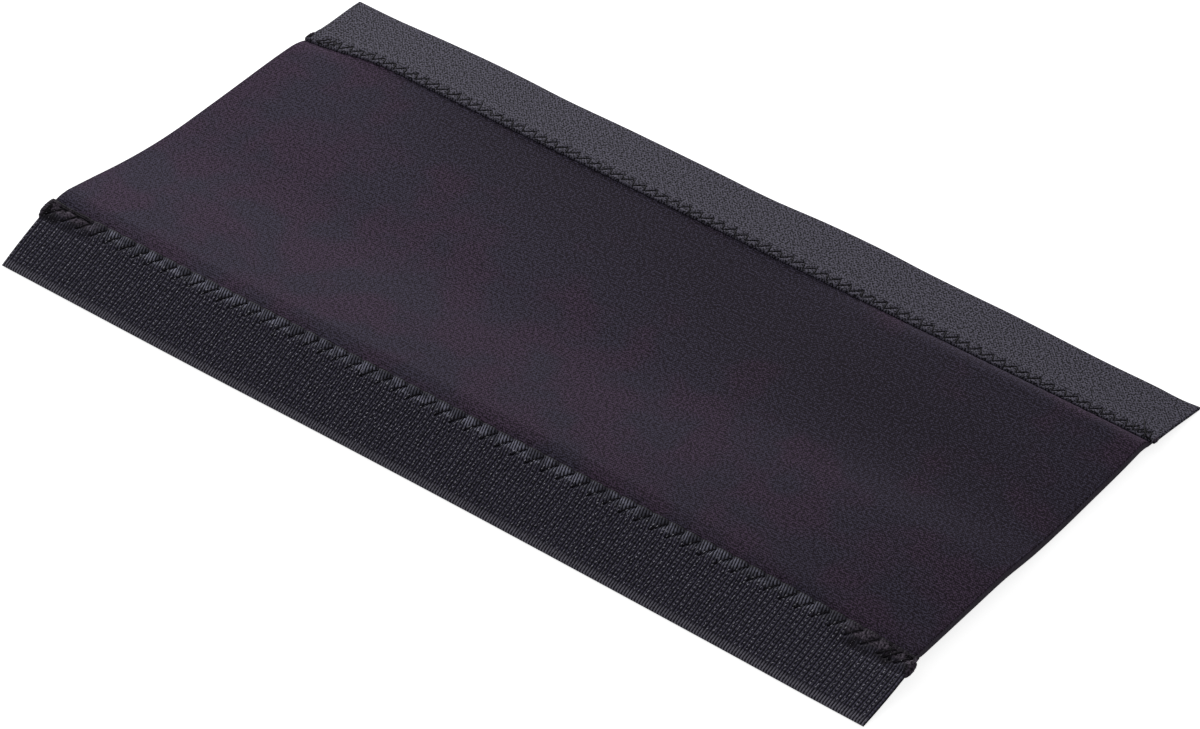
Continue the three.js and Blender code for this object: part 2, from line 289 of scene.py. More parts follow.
# %% World and soft box
WALL_LIGHT = 0.35
BOX_AT, BOX_SIZE, BOX_POWER = (-0.72, 0.67, 0.48), 0.6, 10.0
world = bpy.data.worlds.new("pale_studio")
scene.world = world
world.use_nodes = True
sky = world.node_tree
sky.nodes.clear()
path = add_node(sky, "LightPath")
camera_ray, glossy_ray = path.outputs["Is Camera Ray"], path.outputs["Is Glossy Ray"]
clear_ray = path.outputs["Is Transmission Ray"]
seen = add_node(sky, "Math", {0: camera_ray, 1: glossy_ray}, operation="MAXIMUM")
seen = add_node(sky, "Math", {0: seen, 1: clear_ray}, operation="MAXIMUM")
walls = add_node(sky, "Background", {"Color": "#ffffff", "Strength": WALL_LIGHT})
white = add_node(sky, "Background", {"Color": "#ffffff", "Strength": 1.0})
either = add_node(sky, "MixShader", {0: seen, 1: walls, 2: white})
add_node(sky, "OutputWorld", {"Surface": either})

soft_box = bpy.data.objects.new("soft_box", bpy.data.lights.new("soft_box", "AREA"))
soft_box.data.energy, soft_box.data.size = BOX_POWER, BOX_SIZE
soft_box.location = BOX_AT
soft_box.rotation_euler = (-Vector(BOX_AT)).to_track_quat("-Z", "Y").to_euler()
scene.collection.objects.link(soft_box)
print("soft box is", round(Vector(BOX_AT).length, 2), "m from the middle of the wrap")

# %% [markdown]
# The floor is white card. Its own light for camera rays lifts it to plain white, and
# the shade that the wrap throws on it still shows, because that light is only added.

# %% Floor
FLOOR_HALF, FLOOR_DROP, CARD_GLOW = 3.0, 0.00005, 0.8
floor_mesh = bpy.data.meshes.new("floor")
signs = [(-1, -1), (1, -1), (1, 1), (-1, 1)]
corners = [(a * FLOOR_HALF, b * FLOOR_HALF, -FLOOR_DROP) for a, b in signs]
floor_mesh.from_pydata(corners, [], [(0, 1, 2, 3)])
floor = bpy.data.objects.new("floor", floor_mesh)
scene.collection.objects.link(floor)
card, tree = new_material("white_card")
matt = add_node(tree, "BsdfDiffuse", {"Color": "#e6e6e6"})
camera_ray = add_node(tree, "LightPath").outputs["Is Camera Ray"]
glow = add_node(tree, "Math", {0: camera_ray, 1: CARD_GLOW}, operation="MULTIPLY")
lift = add_node(tree, "Emission", {"Strength": glow})
both = add_node(tree, "AddShader", {0: matt, 1: lift})
add_node(tree, "OutputMaterial", {"Surface": both})
floor_mesh.materials.append(card)
print("floor is", 2 * FLOOR_HALF, "m square")

# %% [markdown]
# Cloth patterns follow the cloth, not the room, so each mesh carries its flat cutting
# plan as a UV map, in metres: u runs along the wrap and v across the piece. A material
# reads that plan in millimetres, so its patterns are given in real sizes. Nylon and
# polyester have an IOR near 1.5. Threads scatter most of the mirror-like part away, so
# the specular level of cloth is set well below a solid plastic's.

# %% Read the cutting plan
FLAT = "flat"
NYLON_IOR = 1.53


def cutting_plan(tree):
    """Where a point of the cloth was on the flat piece, in millimetres."""
    plan = add_node(tree, "UVMap", uv_map=FLAT)
    return add_node(tree, "VectorMath", {0: plan, "Scale": 1 / MM}, operation="SCALE")


print("cloth materials read the UV map", FLAT)

# %% [markdown]
# The panel's faces are nylon jersey bonded to the foam. Jersey is a fine weft knit: its
# stitches look like rows of small V shapes, here drawn 0.7 mm wide, a little coarser than
# real so that they show, under a fuzz of loose fibre. Dye makes faint clouds in it, plum
# in some places and blue-grey in others. Painted light makes it a little paler towards
# the left end, and painted shade makes it darker to the right and darker and greyer in a
# broad slanting band near the loop seam. Its fibres are matt with a weak sheen.

# %% Nylon jersey
jersey, tree = new_material("nylon_jersey_knit")
flat = cutting_plan(tree)
along, across, _ = add_node(tree, "SeparateXYZ", {0: flat}).outputs
WALE, COURSE = 0.7, 0.6
column = add_node(tree, "Math", {0: along, 1: WALE}, operation="DIVIDE")
lean = add_node(tree, "Math", {0: column, 1: 0.5}, operation="PINGPONG")
row = add_node(tree, "Math", {0: across, 1: 1 / COURSE, 2: lean}, operation="MULTIPLY_ADD")
row = add_node(tree, "Math", {0: row, 1: 2 * math.pi}, operation="MULTIPLY")
stitch = add_node(tree, "Math", {0: row}, operation="SINE")
fuzz = add_node(tree, "TexNoise", {"Vector": flat, "Scale": 1.8, "Detail": 2.0, "Roughness": 0.6})
knit = add_node(tree, "Math", {0: stitch, 1: 0.08, 2: fuzz}, operation="MULTIPLY_ADD")
print("jersey: V stitches", WALE, "by", COURSE, "mm")

# %% Painted light and shade on the jersey
# Painted light makes the left end paler, and painted shade makes the right end darker.
PAINTED_LIGHT_AT_LEFT, PAINTED_SHADE_AT_RIGHT, SHADE_BAND_DEPTH = 0.06, -0.3, -0.4  # added to the tone
SHADE_BAND_AT, SHADE_BAND_SLANT, SHADE_BAND_HALF = 81.0, 0.2, 38.0  # the band of painted shade, in mm
painted_shading = add_node(tree, "MapRange", {
    "Value": along, "From Min": -HALF, "From Max": HALF,
    "To Min": PAINTED_LIGHT_AT_LEFT, "To Max": PAINTED_SHADE_AT_RIGHT})
# A slanting band of painted shade near the loop seam, faded out towards both ends.
aslant = add_node(tree, "Math", {0: along, 1: SHADE_BAND_SLANT, 2: across}, operation="MULTIPLY_ADD")
away = add_node(tree, "Math", {0: aslant, 1: SHADE_BAND_AT}, operation="SUBTRACT")
away = add_node(tree, "Math", {0: away}, operation="ABSOLUTE")
shade_band = add_node(tree, "MapRange", {
    "Value": away, "From Max": SHADE_BAND_HALF, "To Min": SHADE_BAND_DEPTH, "To Max": 0.0},
    interpolation_type="SMOOTHSTEP")
onset = add_node(tree, "MapRange", {
    "Value": along, "From Min": -HALF, "From Max": -HALF / 2}, interpolation_type="SMOOTHSTEP")
ending = add_node(tree, "MapRange", {
    "Value": along, "From Min": HALF / 2, "From Max": HALF, "To Min": 1.0, "To Max": 0.4},
    interpolation_type="SMOOTHSTEP")
for share in (onset, ending):
    shade_band = add_node(tree, "Math", {0: shade_band, 1: share}, operation="MULTIPLY")
painted_shading = add_node(tree, "Math", {0: painted_shading, 1: shade_band}, operation="ADD")
tone = add_node(tree, "MapRange", {
    "Value": knit, "From Min": 0.435, "From Max": 0.565}, clamp=False)
tone = add_node(tree, "Math", {0: tone, 1: painted_shading}, operation="ADD", use_clamp=True)
print("the nap is flattest", SHADE_BAND_AT, "mm from the hook seam, at mid length")

# %% Dye of the jersey, greyed by the painted shade band
DYED_FUZZ = "#f7daff"  # glancing light takes a little of the fibres' colour
SHADE_BAND_GREYING = -0.6  # how much the painted shade band turns the tint from plum to slate
# Faint dye clouds, pushed towards slate inside the painted shade band.
dye_clouds_and_shade = add_node(tree, "TexNoise", {"Vector": flat, "Scale": 0.06, "Detail": 2.0})
dye_clouds_and_shade = add_node(tree, "Math", {0: shade_band, 1: SHADE_BAND_GREYING, 2: dye_clouds_and_shade}, operation="MULTIPLY_ADD")
tint = add_node(tree, "MapRange", {"Value": dye_clouds_and_shade, "From Min": 0.44, "From Max": 0.58})
plum = add_node(tree, "Mix", {"Factor": tone, 6: "#0e090f", 7: "#483a4d"}, data_type="RGBA")
slate = add_node(tree, "Mix", {"Factor": tone, 6: "#0c0a0f", 7: "#3f3c4c"}, data_type="RGBA")
dyed = add_node(tree, "Mix", {
    "Factor": tint, 6: plum.outputs[2], 7: slate.outputs[2]}, data_type="RGBA")
bump = add_node(tree, "Bump", {"Height": knit, "Distance": 0.12 * MM, "Strength": 0.7})
shader = add_node(tree, "BsdfPrincipled", {
    "Base Color": dyed.outputs[2], "Roughness": 0.85, "Specular IOR Level": 0.06,
    "IOR": NYLON_IOR, "Sheen Weight": 0.05, "Sheen Roughness": 0.6, "Normal": bump,
    "Specular Tint": DYED_FUZZ, "Sheen Tint": DYED_FUZZ})
add_node(tree, "OutputMaterial", {"Surface": shader})
print("fuzz tints glancing light by", DYED_FUZZ)

# %% [markdown]
# Where the laminate was cut, the foam core shows: closed-cell neoprene, black, with
# cells of a few tenths of a millimetre and no shine.

# %% Neoprene foam
foam, tree = new_material("neoprene_closed_cell_foam")
CELL = 0.35
place = add_node(tree, "TexCoord").outputs["Object"]
cells = add_node(tree, "TexVoronoi", {"Vector": place, "Scale": 1 / (CELL * MM)})
black = add_node(tree, "Mix", {"Factor": cells, 6: "#29252c", 7: "#4a444f"}, data_type="RGBA")
bump = add_node(tree, "Bump", {"Height": cells, "Distance": 0.1 * MM, "Strength": 0.5})
shader = add_node(tree, "BsdfPrincipled", {
    "Base Color": black.outputs[2], "Roughness": 0.85, "Specular IOR Level": 0.1,
    "IOR": NYLON_IOR, "Normal": bump})
add_node(tree, "OutputMaterial", {"Surface": shader})
print("foam cells of", CELL, "mm")

# %% [markdown]
# Every cloth piece is a closed mesh with thickness. It is made of layers that share one
# grid: all of the top and bottom layer is used, and only the rim of those between. The
# walls join the rims, so a cut edge can bulge, and each band of a wall has a material.

# %% Build a closed cloth from layers
def put(name, verts_mm, faces, materials, node, flat_mm, material_of=None):
    """A piece with its flat plan as a UV map. node: the CAD node that it replaces."""
    mesh = bpy.data.meshes.new(name)
    mesh.from_pydata(verts_mm * MM, [], faces, shade_flat=False)
    for material in materials:
        mesh.materials.append(material)
    if material_of is not None:
        mesh.polygons.foreach_set("material_index", material_of.astype(np.int32))
    corner = np.zeros(len(mesh.loops), np.int32)
    mesh.loops.foreach_get("vertex_index", corner)
    flat_m = (flat_mm[corner] * MM).astype(np.float32)
    mesh.uv_layers.new(name=FLAT).uv.foreach_set("vector", flat_m.ravel())
    piece = bpy.data.objects.new(name, mesh)
    scene.collection.objects.link(piece)
    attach(piece, "root")
    if node:
        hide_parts(node)
    mesh.calc_loop_triangles()
    print(name, "has", len(mesh.loop_triangles), "triangles")
    return piece


def closed_cloth(layers, plan, band_of=None):
    """A mesh as points, faces and flat plan, and the wall band of each face."""
    rows, columns = layers[0].shape[:2]
    index = np.arange(rows * columns).reshape(rows, columns)
    rim = np.concatenate([index[:, 0], index[-1, 1:], index[-2::-1, -1], index[0, -2:0:-1]])
    top = np.stack([index[:-1, :-1], index[1:, :-1], index[1:, 1:], index[:-1, 1:]], -1)
    top = top.reshape(-1, 4)
    verts, flats, rims, faces = [layers[0].reshape(-1, 3)], [plan.reshape(-1, 2)], [rim], [top]
    bands = [np.zeros(len(top), int)]
    count = rows * columns
    for layer in layers[1:-1]:
        verts.append(layer.reshape(-1, 3)[rim])
        flats.append(plan.reshape(-1, 2)[rim])
        rims.append(count + np.arange(len(rim)))
        count += len(rim)
    verts.append(layers[-1].reshape(-1, 3))
    flats.append(plan.reshape(-1, 2))
    rims.append(count + rim)
    faces.append((top + count)[:, ::-1])
    bands.append(np.zeros(len(top), int))
    for level, (upper, lower) in enumerate(zip(rims, rims[1:])):
        faces.append(np.stack([lower, np.roll(lower, -1), np.roll(upper, -1), upper], -1))
        bands.append(np.full(len(rim), band_of[level] if band_of else 0))
    verts, faces, flats, bands = (np.concatenate(part) for part in (verts, faces, flats, bands))
    return verts, faces.tolist(), flats, bands


def grid(x, v):
    """Every x with every v, as two arrays."""
    return np.meshgrid(x, v, indexing="ij")


print("layers are stacked from the top face down")

# %% [markdown]
# Both seams are zigzag lockstitches. A list of needle holes describes each one: an inner
# hole beside the tape's edge, then an outer hole, and so on. The feed has dragged the
# outer holes along, so both zigzags lean. At each end the machine ran back and forth for
# a few millimetres to lock the thread. At the left end of the hook tape it turned in an
# arc there, a millimetre inside the tape's two edges.

# %% Needle holes of both seams
# The skew is a falling leg's share of the pitch.
HOOK_PITCH, HOOK_INNER_AT, HOOK_SKEW = 4.365, 1.65, 0.37
LOOP_PITCH, LOOP_INNER_AT, LOOP_SKEW = 3.36, -41.2, 0.68
HOOK_OUTER, HOOK_INNER = 16.3, 19.3
LOOP_OUTER, LOOP_INNER = 17.0, 19.5
TACK = 7.0  # length of the locking stitches at each end
HOOK_SHIFTS, LOOP_SHIFTS = (1.3, 2.6), (1.7, 1.4)  # of the locking runs' holes
HOLE_STRAY = (0.09, 0.06)  # along and across the tape
SEAM_END = HALF - 0.8
ARC = [(-112.8, 19.1), (-117.9, 19.35), (-119.8, 19.2), (-121.7, 19.15),
       (-123.1, 18.45), (-123.9, 17.4), (-123.95, 16.3)]


def needle_holes(pitch, one_inner, skew, outer, inner):
    """The zigzag's holes from left to right, each as (along, across) the tape."""
    x = one_inner - math.floor((one_inner + SEAM_END) / pitch) * pitch
    holes = []
    while x <= SEAM_END:
        holes.append((x, inner))
        if x + skew * pitch <= SEAM_END:
            holes.append((x + skew * pitch, outer))
        x += pitch
    return holes


def tacked(holes, end, shift):
    """The way back over the last holes at one end, -1 for left and 1 for right."""
    return [(x - end * shift, v) for x, v in holes if end * x > SEAM_END - TACK][::-1]


def shaken(holes):
    holes = np.array(holes)
    holes += chance.normal(0, HOLE_STRAY, holes.shape)
    holes[:, 0] = holes[:, 0].clip(-SEAM_END, SEAM_END)
    return holes


hook_holes = needle_holes(HOOK_PITCH, HOOK_INNER_AT, HOOK_SKEW, HOOK_OUTER, HOOK_INNER)
back, forth = (tacked(hook_holes, 1, shift) for shift in HOOK_SHIFTS)
hook_holes = shaken(ARC + hook_holes + back + forth[::-1])
loop_holes = needle_holes(LOOP_PITCH, LOOP_INNER_AT, LOOP_SKEW, LOOP_OUTER, LOOP_INNER)
left, right = (tacked(loop_holes, end, shift) for end, shift in zip((-1, 1), LOOP_SHIFTS))
loop_holes = shaken(left + loop_holes + right)
print(len(hook_holes), "needle holes in the hook seam and", len(loop_holes), "in the loop seam")

# %% [markdown]
# A tight thread sinks into cloth, and the cloth swells up between threads. So both the
# tapes and the foam need to know how far each of their points is from the thread. Legs
# that rise to an inner hole and legs that fall to an outer one are measured apart.

# %% Distance from the thread
INNER_BAND = 0.6  # a hole this near the inner line counts as an inner one


def from_thread(x, v, holes):
    """Distance to the nearest rising leg, and to the nearest falling one."""
    a, leg = holes[:-1], np.diff(holes, axis=0)
    point = np.stack([x, v], -1)[..., None, :]
    t = np.clip(((point - a) * leg).sum(-1) / np.maximum((leg * leg).sum(-1), 1e-9), 0, 1)
    away = np.linalg.norm(a + t[..., None] * leg - point, axis=-1)
    rises = leg[:, 1] > 0
    return away[..., rises].min(-1), away[..., ~rises].min(-1)


def from_hole(x, holes, inner):
    """Distance along the tape to the nearest inner hole."""
    places = np.sort(holes[holes[:, 1] > inner - INNER_BAND][:, 0])
    i = np.clip(np.searchsorted(places, x), 1, len(places) - 1)
    return np.minimum(abs(x - places[i - 1]), abs(places[i] - x))


to_inner = from_hole(hook_holes[:, 0], hook_holes, HOOK_INNER)
print("no hole of the hook seam is over", to_inner.max().round(1), "mm from an inner one")

# %% [markdown]
# Now the panel itself. It could be a box with a subdivision surface, but the seams need
# close rows of points beside them, so its grid is written out: fine beside the seams
# and wider in the middle. The cut ends show jersey, foam and jersey again.

# %% Panel
ALONG_STEP = 0.7
JERSEY_SHARE = 0.14  # of the thickness, for each knitted face
DIMPLE, LOOP_DIMPLE, DIMPLE_RUN = 0.5, 0.1, 0.8  # the dents beside the inner holes
BULGE = 0.15  # of the foam at the cut ends
EDGE_TURN = math.radians(50)  # a turn above this shows as an edge
x_lines = np.linspace(-HALF, HALF - PANEL_SHORT, int((LENGTH - PANEL_SHORT) / ALONG_STEP))
hook_side = [np.linspace(-UNDER_TAPE, -0.6, 5), np.linspace(-0.2, 6, 20)]
middle = [np.linspace(7, FREE_WIDTH - 7, 62)]
loop_side = [np.linspace(FREE_WIDTH - 6, FREE_WIDTH + 0.2, 20),
             np.linspace(FREE_WIDTH + 0.6, FREE_WIDTH + UNDER_TAPE, 5)]
x, s = grid(x_lines, np.concatenate(hook_side + middle + loop_side))
near_hook = np.exp(-((from_hole(x, hook_holes, HOOK_INNER) / DIMPLE_RUN) ** 2))
near_loop = np.exp(-((from_hole(x, loop_holes, LOOP_INNER) / DIMPLE_RUN) ** 2))
held = np.where(s < FREE_WIDTH / 2, DIMPLE * near_hook, LOOP_DIMPLE * near_loop)
levels = (1.0, 1 - JERSEY_SHARE, 0.5, JERSEY_SHARE, 0.0)
layers = [lay_panel(x, s, np.full_like(x, n), held) for n in levels]
for layer, out in zip(layers, (-BULGE, 0.0, BULGE, 0.0, -BULGE)):
    layer[0, :, 0] -= out
    layer[-1, :, 0] += out
verts, faces, plan, band = closed_cloth(layers, np.stack([x, s], -1), band_of=(0, 1, 1, 0))
panel = put("neoprene_panel_cloth", verts, faces, [jersey, foam],
            "neoprene_panel", plan, band)
panel.data.set_sharp_from_angle(angle=EDGE_TURN)

# %% [markdown]
# The hook tape's ground is woven nylon, dyed black. Its weft crosses the tape in picks
# that show as fine ribs on both selvedges, two for each row of hooks. Between the
# columns of hooks run the warp yarns. Beside the seam the ribs lean a little and carry a
# painted highlight in patches, up to the turned edge, which is painted dark as shade.
# Towards the right end the painted highlight fades. The sewn bars at both ends are packed
# with plum-black thread, and the ground beside them is darker, in patches. In shape all
# ribs are real ridges of the mesh, pressed flat where a thread crosses them.

# %% Ribs in the hook tape's ground
hook_ground, tree = new_material("woven_nylon_hook_ground")
flat = cutting_plan(tree)
along, across, _ = add_node(tree, "SeparateXYZ", {0: flat}).outputs
ROW_PITCH = 1.4488  # between rows of hooks
RIB = ROW_PITCH / 2
WARP = 0.93  # between warp yarns
RIB_LEAN, LEAN_FROM = -0.19, 15.6  # a rib's shift along the tape for each mm across
beyond = add_node(tree, "Math", {0: across, 1: LEAN_FROM}, operation="SUBTRACT")
beyond = add_node(tree, "Math", {0: beyond, 1: 0.0}, operation="MAXIMUM")
turn = add_node(tree, "Math", {0: beyond, 1: -RIB_LEAN, 2: along}, operation="MULTIPLY_ADD")
turn = add_node(tree, "Math", {0: turn, 1: 2 * math.pi / RIB}, operation="MULTIPLY")
rib = add_node(tree, "Math", {0: turn}, operation="COSINE")
strands = add_node(tree, "TexNoise", {"Vector": flat, "Scale": 1.9, "Detail": 3.0})
rib = add_node(tree, "Math", {0: rib, 1: 0.3, 2: strands}, operation="MULTIPLY_ADD")
rib = add_node(tree, "MapRange", {"Value": rib, "From Min": 0.3, "From Max": 0.8})
print("ribs", round(RIB, 2), "mm apart")

# %% Regions of the hook tape's ground
OUTER_SELVEDGE, INNER_SELVEDGE = 1.9, 17.3
BARE_FROM, BARE_TO, BAR_FADE = -110.0, 107.0, 3  # the sewn bars lie beyond
HIGHLIGHT_FADE_FROM, HIGHLIGHT_FADE_TO, HIGHLIGHT_LEFT_SHARE = 30.0, 95.0, 0.65  # share: how much painted highlight is left there
# What is left of the colour at the sewn edge, under its painted shade.
EDGE_SHADE_SHARE = 0.05
spans = ((across, OUTER_SELVEDGE + 0.4, OUTER_SELVEDGE - 0.4),
         (across, INNER_SELVEDGE - 0.5, INNER_SELVEDGE + 0.3),
         (along, BARE_FROM - BAR_FADE, BARE_FROM + BAR_FADE),
         (along, BARE_TO + BAR_FADE, BARE_TO - BAR_FADE),
         (across, TAPE_WIDTH - 0.15, TAPE_WIDTH - 0.7))
outside, inside, west, east, painted_edge_shade = (
    add_node(tree, "MapRange", {"Value": place, "From Min": low, "From Max": high})
    for place, low, high in spans)
painted_edge_shade.inputs["To Min"].default_value = EDGE_SHADE_SHARE
bare = add_node(tree, "Math", {0: west, 1: east}, operation="MULTIPLY")
patch = add_node(tree, "TexNoise", {"Vector": flat, "Scale": 0.3, "Detail": 2.0})
patch = add_node(tree, "MapRange", {
    "Value": patch, "From Min": 0.42, "From Max": 0.56, "To Min": 0.38})
highlight_fade = add_node(tree, "MapRange", {
    "Value": along, "From Min": HIGHLIGHT_FADE_FROM, "From Max": HIGHLIGHT_FADE_TO,
    "To Min": 1.0, "To Max": HIGHLIGHT_LEFT_SHARE})
# Painted highlight on the ribs beside the seam: in patches, and fading towards the right end.
painted_rib_highlight = bare
for share in (rib, patch, highlight_fade):
    painted_rib_highlight = add_node(tree, "Math", {0: painted_rib_highlight, 1: share}, operation="MULTIPLY")
print("the seam's ribs are bare for", BARE_TO - BARE_FROM, "mm of the tape")

# %% Dye of the hook tape's ground
DARK_PATCH_FROM, DARK_PATCH_TO = 13.5, 15.0
warp = add_node(tree, "Math", {0: across, 1: 2 * math.pi / WARP}, operation="MULTIPLY")
warp = add_node(tree, "Math", {0: warp}, operation="COSINE")
warp = add_node(tree, "MapRange", {
    "Value": warp, "From Min": -1.0, "From Max": 0.6, "To Min": 0.35})
crossed = add_node(tree, "Math", {0: rib, 1: warp}, operation="MULTIPLY")
field = add_node(tree, "Mix", {"Factor": crossed, 6: "#14131a", 7: "#676377"}, data_type="RGBA")
outer = add_node(tree, "Mix", {"Factor": rib, 6: "#1a1920", 7: "#83808d"}, data_type="RGBA")
packed = add_node(tree, "MapRange", {"Value": strands, "From Min": 0.4, "From Max": 0.6})
packed = add_node(tree, "Mix", {"Factor": packed, 6: "#1a161e", 7: "#655c69"}, data_type="RGBA")
recess = add_node(tree, "Mix", {
    "Factor": bare, 6: packed.outputs[2], 7: "#0c0b10"}, data_type="RGBA")
# The light colour here is painted highlight on the ribs.
inner = add_node(tree, "Mix", {
    "Factor": painted_rib_highlight, 6: recess.outputs[2], 7: "#a1a0b5"}, data_type="RGBA")
# Painted shade along the sewn edge.
inner = add_node(tree, "Mix", {
    "Factor": painted_edge_shade, 6: "#08070a", 7: inner.outputs[2]}, data_type="RGBA")
# The ground beside the sewn bars is darker, in patches.
beside_bar = add_node(tree, "MapRange", {
    "Value": across, "From Min": DARK_PATCH_FROM, "From Max": DARK_PATCH_TO})
at_bar = add_node(tree, "Math", {0: 1.0, 1: bare}, operation="SUBTRACT")
dark_beside_bar = add_node(tree, "Math", {0: beside_bar, 1: at_bar}, operation="MULTIPLY")
dark_beside_bar = add_node(tree, "Math", {0: dark_beside_bar, 1: patch}, operation="MULTIPLY")
dyed = field
for mask, over in ((dark_beside_bar, "#17141b"), (outside, outer.outputs[2]), (inside, inner.outputs[2])):
    dyed = add_node(tree, "Mix", {"Factor": mask, 6: dyed.outputs[2], 7: over}, data_type="RGBA")
bump = add_node(tree, "Bump", {"Height": strands, "Distance": 0.08 * MM, "Strength": 0.5})
shader = add_node(tree, "BsdfPrincipled", {
    "Base Color": dyed.outputs[2], "Roughness": 0.65, "Specular IOR Level": 0.08,
    "IOR": NYLON_IOR, "Normal": bump})
add_node(tree, "OutputMaterial", {"Surface": shader})
print("trodden dull from", DARK_PATCH_TO, "mm across the tape")

# %% Hook tape
RIB_HEIGHT = 0.12
SEAM_ZONE = 15.0
HOOK_RELIEF = {"puff": 0.22, "rising": 0.55, "falling": 0.12, "groove": 0.4}
PUFF_RUN, PRESSED = 0.9, 0.5  # beside a thread, cloth and ribs are full again this far off
HOOK_SCALLOP, SCALLOP_RUN, SCALLOP_FROM = 0.18, 0.8, 2.5  # of the sewn edge, between holes
HOOK_ROUNDING, ROUNDING_RUN = (0.3, 0.2), 0.45  # the edges' height loss above and below
HOOK_TAPE_STEP = 0.18


def tape_relief(x, v, holes, puff, rising, falling, groove):
    """How far sewing raises the cloth: it puffs up, with a groove at each thread."""
    rise = np.zeros_like(x)
    near = v > SEAM_ZONE
    up, down = from_thread(x[near], v[near], holes)
    rise[near] = (
        puff * (1 - np.exp(-((np.minimum(up, down) / PUFF_RUN) ** 2)))
        - rising * np.exp(-((up / groove) ** 2))
        - falling * np.exp(-((down / groove) ** 2)) * (1 - np.exp(-((up / groove) ** 2)))
    )
    return rise * ease(v, SEAM_ZONE, SEAM_ZONE + 1)


def scalloped(x, v, holes, inner, depth):
    """v with the sewn edge drawn in at each inner hole."""
    out = depth * (1 - np.exp(-((from_hole(x, holes, inner) / SCALLOP_RUN) ** 2))) - depth / 2
    return v + out * ease(v, TAPE_WIDTH - SCALLOP_FROM, TAPE_WIDTH)


def rounded(x, v, depth):
    near_edge = np.minimum(HALF - abs(x), np.minimum(v, TAPE_WIDTH - v))
    return -depth * (1 - np.clip(near_edge / ROUNDING_RUN, 0, 1)) ** 2


def sewn_tape(x, v, woven, holes, inner, relief, scallop, rounding, lay):
    """A tape as points, faces and plan. woven: its top face before it is sewn."""
    top = woven + tape_relief(x, v, holes, **relief) + rounded(x, v, rounding[0])
    bottom = -rounded(x, v, rounding[1])
    v_out = scalloped(x, v, holes, inner, scallop)
    layers = [lay(x, v_out, n) for n in (top, (top + bottom) / 2, bottom)]
    return closed_cloth(layers, np.stack([x, v], -1))[:3]


outer_lines, seam_lines = np.linspace(0, 2.6, 7), np.linspace(SEAM_ZONE, TAPE_WIDTH, 17)
x, v = grid(np.arange(-HALF, HALF + 0.05, HOOK_TAPE_STEP),
            np.concatenate([outer_lines, [5, 8, 11, 14], seam_lines]))
ribs = RIB_HEIGHT * np.cos(2 * np.pi * (x - RIB_LEAN * np.maximum(v - LEAN_FROM, 0)) / RIB)
ribs = ribs * (1 - np.exp(-((from_thread(x, v, hook_holes)[0] / PRESSED) ** 2)))
verts, faces, plan = sewn_tape(x, v, HOOK_GROUND + ribs, hook_holes, HOOK_INNER,
                               HOOK_RELIEF, HOOK_SCALLOP, HOOK_ROUNDING, lay_hook_tape)
hook_tape = put("hook_tape_ground", verts, faces, [hook_ground], "hook_tape", plan)

# %% [markdown]
# The hooks start as loops of stiff nylon monofilament, woven in with the ground. A blade
# then cuts one leg of each loop, which leaves a hook. Each hook is one strand swept
# along a bent line. All of them face nearly the same way, and those beside the sewn bars
# are trodden down. Dyed nylon is glossy, and the tops of the hooks carry a painted pale
# highlight, so the tape shows rows of small light points.

# %% Sweep a strand along a line
def swept(path, radius, sides):
    """A closed strand along a path, as its points and faces."""
    path = np.asarray(path, float)
    heading = np.gradient(path, axis=0)
    heading /= np.linalg.norm(heading, axis=1)[:, None]
    level = abs(heading[:, 2]).max() < 0.9
    up = np.array([0.0, 0.0, 1.0] if level else [0.0, 1.0, 0.0])
    side = np.cross(heading, up)
    side /= np.linalg.norm(side, axis=1)[:, None]
    over = np.cross(side, heading)
    turn = np.arange(sides) * 2 * np.pi / sides
    ring = np.cos(turn)[:, None, None] * side + np.sin(turn)[:, None, None] * over
    verts = (path + radius * ring).transpose(1, 0, 2).reshape(-1, 3)
    at = np.arange(len(path) * sides).reshape(-1, sides)
    beside = np.roll(at, -1, 1)
    quads = np.stack([at[:-1], beside[:-1], beside[1:], at[1:]], -1).reshape(-1, 4)
    return verts, quads.tolist() + [at[0][::-1].tolist(), at[-1].tolist()]


stub, _ = swept([(0, 0, 0), (1, 0, 0), (2, 0, 0.1)], 0.1, 4)
print("a swept line of 3 points and 4 sides has", len(stub), "points")

# %% Nylon monofilament
monofilament, tree = new_material("nylon_monofilament_dyed")
flat = cutting_plan(tree)
speck = add_node(tree, "TexNoise", {"Vector": flat, "Scale": 0.9})
speck = add_node(tree, "MapRange", {"Value": speck, "From Min": 0.3, "From Max": 0.6})
facing = add_node(tree, "NewGeometry")
facing = add_node(tree, "SeparateXYZ", {"Vector": facing.outputs["Normal"]})
# Painted highlight: faces that point up are paler, in specks.
painted_top_highlight = add_node(tree, "MapRange", {
    "Value": facing.outputs["Z"], "From Min": 0.4, "From Max": 0.85})
painted_top_highlight = add_node(tree, "Math", {0: painted_top_highlight, 1: speck}, operation="MULTIPLY")
dyed = add_node(tree, "Mix", {"Factor": painted_top_highlight, 6: "#19181e", 7: "#cfccdc"}, data_type="RGBA")
shader = add_node(tree, "BsdfPrincipled", {
    "Base Color": dyed.outputs[2], "Roughness": 0.35, "Specular IOR Level": 0.5, "IOR": NYLON_IOR})
add_node(tree, "OutputMaterial", {"Surface": shader})
print("monofilament takes", len(tree.nodes), "nodes")

